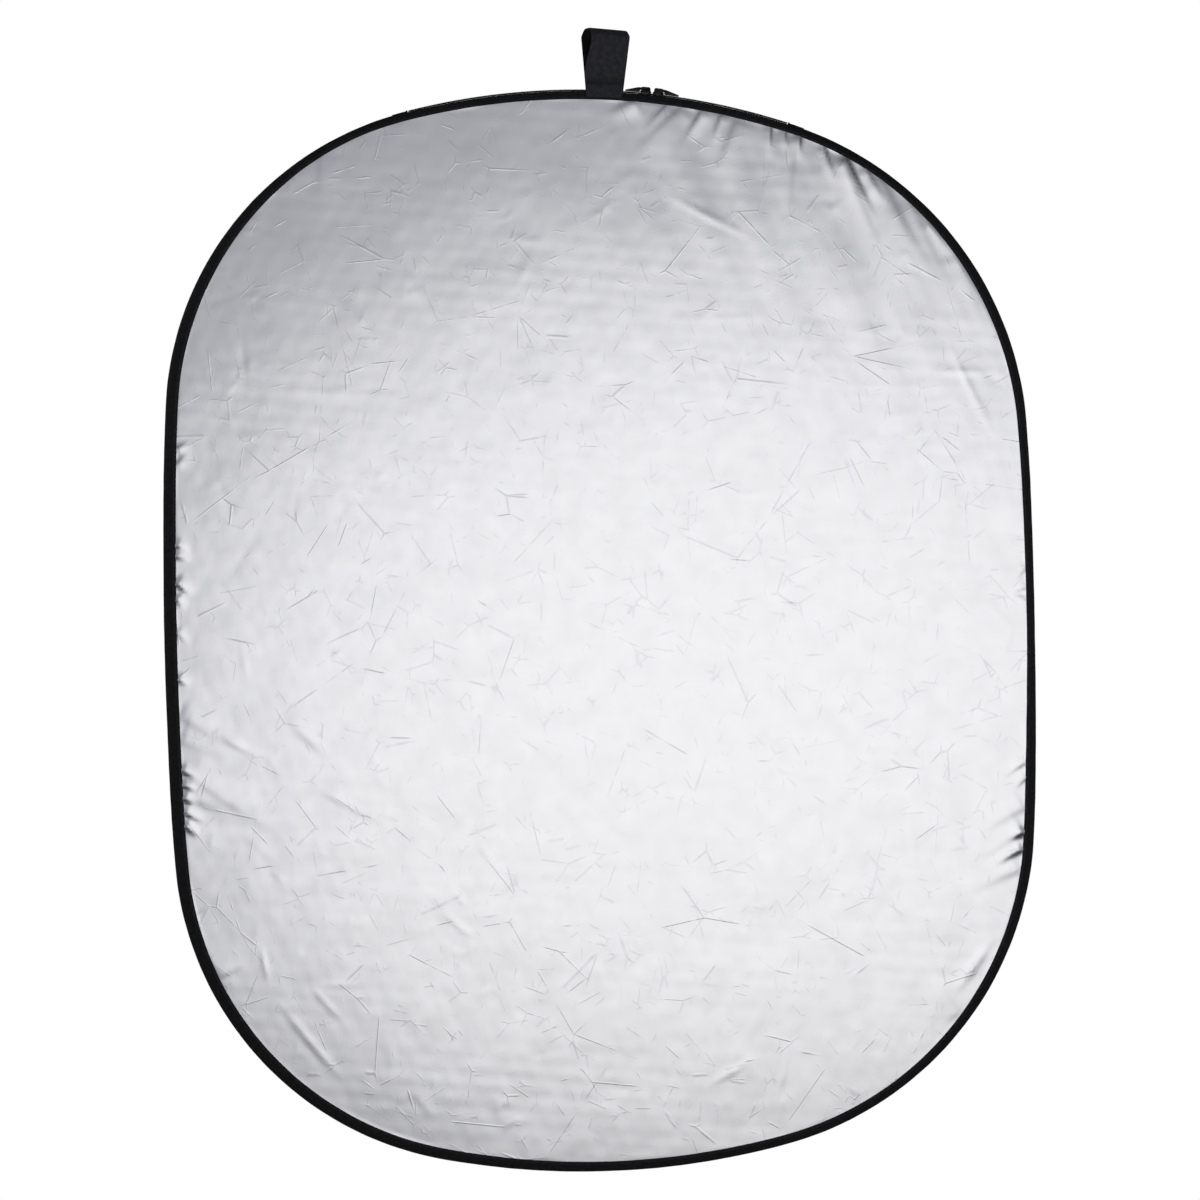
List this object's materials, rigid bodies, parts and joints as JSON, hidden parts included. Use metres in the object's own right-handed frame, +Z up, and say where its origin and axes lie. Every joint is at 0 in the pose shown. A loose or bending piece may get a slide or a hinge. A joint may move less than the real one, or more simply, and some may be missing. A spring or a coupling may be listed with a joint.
{
  "type": "collapsible light reflector",
  "caption": "Oval fold-up light reflector: spring hoop, translucent diffuser disc, zip-on silver and gold cover, and a webbing hanging loop.",
  "frame": {"origin": "middle of the inner face of the hanging loop's crown, where a hook or hanger bears", "axes": "+Z up along the hanging disc, +Y to the back, +X to the right seen from the silver front"},
  "size_m": [1.2088, 0.0562, 1.5829],
  "materials": {
    "silver": "satin metallised film on cloth, finely crinkled",
    "gold": "satin metallised film on cloth, finely crinkled",
    "diffuser": "translucent white nylon",
    "trim": "black woven polyester edging",
    "webbing": "black ribbed polypropylene webbing",
    "zip": "black zip tape with a nylon coil",
    "hardware": "black enamelled die casting",
    "steel": "blued spring steel strip"
  },
  "bodies": {
    "hanging_loop": {"hanging_loop": "webbing"},
    "upper_half": {"hoop_upper": "steel", "channel_upper": "diffuser", "diffuser_upper": "diffuser", "front_panel_upper": "silver", "back_panel_upper": "gold", "front_binding_upper": "trim", "back_binding_upper": "trim", "gusset_upper_left": "trim", "gusset_upper_right": "trim", "zip_tape_front": "zip", "zip_tape_back": "zip", "zip_coil_front": "zip", "zip_coil_back": "zip", "zip_stop_left": "hardware", "zip_stop_right": "hardware", "zip_patch_left": "trim", "zip_patch_right": "trim", "loop_leg_front": "webbing", "loop_leg_back": "webbing"},
    "lower_half": {"hoop_lower_left": "steel", "hoop_lower_right": "steel", "hoop_ferrule": "steel", "channel_lower": "diffuser", "diffuser_lower": "diffuser", "front_panel_lower": "silver", "back_panel_lower": "gold", "front_binding_lower": "trim", "back_binding_lower": "trim", "gusset_lower": "trim"},
    "zip_slider_left": {"zip_slider_left": "hardware"},
    "zip_slider_right": {"zip_slider_right": "hardware"},
    "zip_pull_left": {"zip_pull_left": "hardware"},
    "zip_pull_right": {"zip_pull_right": "hardware"}
  },
  "joints": [
    {"name": "loop_swing", "type": "hinge", "parent": "hanging_loop", "child": "upper_half", "pos_m": [-0.00271, 0, -0.06745], "axis": [0.9992, 0, -0.0401], "range_deg": [-80, 80]},
    {"name": "disc_bend", "type": "hinge", "parent": "upper_half", "child": "lower_half", "pos_m": [0, -0.0073, -0.83168], "axis": [-1, 0, 0], "range_deg": [0, 130], "stiffness_Nm_per_rad": 4},
    {"name": "zip_travel_left", "type": "hinge", "parent": "upper_half", "child": "zip_slider_left", "pos_m": [-0.04144, 0, -1.03177], "axis": [0, -1, 0], "range_deg": [0, 19.4]},
    {"name": "zip_travel_right", "type": "hinge", "parent": "upper_half", "child": "zip_slider_right", "pos_m": [-0.04144, 0, -1.03177], "axis": [0, 1, 0], "range_deg": [0, 10.5]},
    {"name": "pull_flip_left", "type": "hinge", "parent": "zip_slider_left", "child": "zip_pull_left", "pos_m": [0.04971, 0, -0.07971], "axis": [0, 1, 0], "range_deg": [0, 120]},
    {"name": "pull_flip_right", "type": "hinge", "parent": "zip_slider_right", "child": "zip_pull_right", "pos_m": [0.07629, 0, -0.08263], "axis": [0, -1, 0], "range_deg": [0, 120]}
  ]
}
